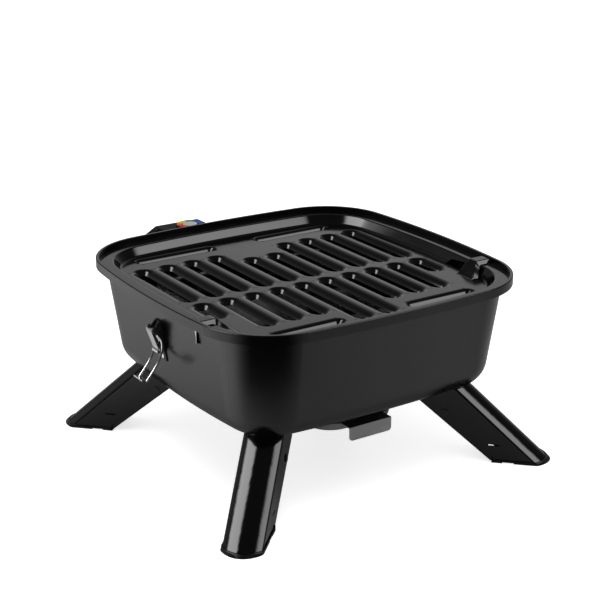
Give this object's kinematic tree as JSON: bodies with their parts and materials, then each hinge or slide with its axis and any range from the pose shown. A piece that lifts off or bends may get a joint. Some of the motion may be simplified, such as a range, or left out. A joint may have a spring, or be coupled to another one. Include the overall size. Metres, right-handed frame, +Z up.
{
  "type": "portable tabletop grill",
  "caption": "Square rounded bowl grill on folding splayed legs, with slotted lift-out plate, heater, plug-in thermostat, side lid latches and pull-out fat tray.",
  "frame": {"origin": "on the surface it stands on, under the middle of the whole grill's extent; the bowl's own axis is 45.8 mm towards -Y from it", "axes": "+Z up, -Y towards the front with the tray's tab, +Y towards the thermostat, +X to the right seen from the front"},
  "size_m": [0.4094, 0.494, 0.2085],
  "materials": {
    "bowl_enamel": "semi-gloss black enamel on pressed steel",
    "plate_coating": "satin black non-stick coating on pressed steel",
    "leg_gloss": "gloss black enamel on pressed steel",
    "foot_plastic": "matt black heat-safe moulding",
    "bracket_steel": "satin black painted steel",
    "pin_steel": "bright zinc-plated steel",
    "tray_steel": "satin grey coated steel",
    "rail_steel": "plain galvanised steel",
    "latch_chrome": "polished nickel-chrome plate",
    "element_sheath": "heat-darkened steel sheath",
    "inner_steel": "bright aluminised steel",
    "insulator": "pale ceramic-filled moulding",
    "unit_plastic": "dark grey fine-textured moulding",
    "dial_plastic": "pale grey moulded cap",
    "scale_print": "printed heat scale from blue through green and yellow to red",
    "lens": "clear red lens"
  },
  "bodies": {
    "base": {"bowl": "bowl_enamel", "reflector_pan": "inner_steel", "heating_element": "element_sheath", "terminal_pins": "pin_steel", "element_bar_front": "inner_steel", "element_bar_back": "inner_steel", "element_clips": "inner_steel", "terminal_plate": "insulator", "socket_shroud": "unit_plastic", "bracket_rivets": "pin_steel", "tray_rail_left": "rail_steel", "tray_rail_right": "rail_steel", "rail_screws": "pin_steel", "leg_bracket_front_left": "bracket_steel", "leg_pin_front_left": "bracket_steel", "leg_bracket_front_right": "bracket_steel", "leg_pin_front_right": "bracket_steel", "leg_bracket_back_left": "bracket_steel", "leg_pin_back_left": "bracket_steel", "leg_bracket_back_right": "bracket_steel", "leg_pin_back_right": "bracket_steel", "latch_base_left": "bracket_steel", "latch_pin_left": "latch_chrome", "latch_rivets_left": "latch_chrome", "latch_base_right": "bracket_steel", "latch_pin_right": "latch_chrome", "latch_rivets_right": "latch_chrome"},
    "plate": {"grill_plate": "plate_coating"},
    "tray": {"fat_tray": "tray_steel"},
    "thermostat": {"thermostat_cover": "unit_plastic", "thermostat_base": "unit_plastic", "thermostat_screws": "pin_steel", "plug_nose": "insulator", "probe": "pin_steel", "indicator_lens": "lens", "cord_gland": "unit_plastic"},
    "dial": {"dial": "unit_plastic", "scale_ring": "scale_print", "dial_cap": "dial_plastic"},
    "leg_front_left": {"leg_front_left": "leg_gloss", "foot_cap_front_left": "foot_plastic"},
    "leg_front_right": {"leg_front_right": "leg_gloss", "foot_cap_front_right": "foot_plastic"},
    "leg_back_left": {"leg_back_left": "leg_gloss", "foot_cap_back_left": "foot_plastic"},
    "leg_back_right": {"leg_back_right": "leg_gloss", "foot_cap_back_right": "foot_plastic"},
    "lever_left": {"latch_lever_left": "latch_chrome"},
    "bail_left": {"latch_bail_left": "latch_chrome"},
    "lever_right": {"latch_lever_right": "latch_chrome"},
    "bail_right": {"latch_bail_right": "latch_chrome"}
  },
  "joints": [
    {"name": "plate_lift", "type": "slide", "parent": "base", "child": "plate", "axis": [0, 0, 1], "range_m": [0, 0.08]},
    {"name": "tray_slide", "type": "slide", "parent": "base", "child": "tray", "axis": [0, -1, 0], "range_m": [0, 0.13]},
    {"name": "thermostat_plug", "type": "slide", "parent": "base", "child": "thermostat", "axis": [0, 1, 0], "range_m": [0, 0.09]},
    {"name": "dial_turn", "type": "hinge", "parent": "thermostat", "child": "dial", "pos_m": [0, 0.20099, 0.187], "axis": [0, 0, -1], "range_deg": [0, 270]},
    {"name": "front_left_leg_fold", "type": "hinge", "parent": "base", "child": "leg_front_left", "pos_m": [-0.11575, -0.15935, 0.054], "axis": [0.6997, -0.7145, 0], "range_deg": [0, 137]},
    {"name": "front_right_leg_fold", "type": "hinge", "parent": "base", "child": "leg_front_right", "pos_m": [0.11575, -0.15935, 0.054], "axis": [0.6997, 0.7145, 0], "range_deg": [0, 137]},
    {"name": "back_left_leg_fold", "type": "hinge", "parent": "base", "child": "leg_back_left", "pos_m": [-0.11575, 0.06734, 0.054], "axis": [-0.6997, -0.7145, 0], "range_deg": [0, 137]},
    {"name": "back_right_leg_fold", "type": "hinge", "parent": "base", "child": "leg_back_right", "pos_m": [0.11575, 0.06734, 0.054], "axis": [-0.6997, 0.7145, 0], "range_deg": [0, 137]},
    {"name": "left_lever_turn", "type": "hinge", "parent": "base", "child": "lever_left", "pos_m": [-0.183, -0.04901, 0.1699], "axis": [0, 1, 0], "range_deg": [0, 55]},
    {"name": "left_bail_turn", "type": "hinge", "parent": "lever_left", "child": "bail_left", "pos_m": [-0.18115, -0.04901, 0.16472], "axis": [0, 1, 0], "range_deg": [0, 95]},
    {"name": "right_lever_turn", "type": "hinge", "parent": "base", "child": "lever_right", "pos_m": [0.183, -0.04901, 0.1699], "axis": [0, -1, 0], "range_deg": [0, 55]},
    {"name": "right_bail_turn", "type": "hinge", "parent": "lever_right", "child": "bail_right", "pos_m": [0.18115, -0.04901, 0.16472], "axis": [0, -1, 0], "range_deg": [0, 95]}
  ]
}
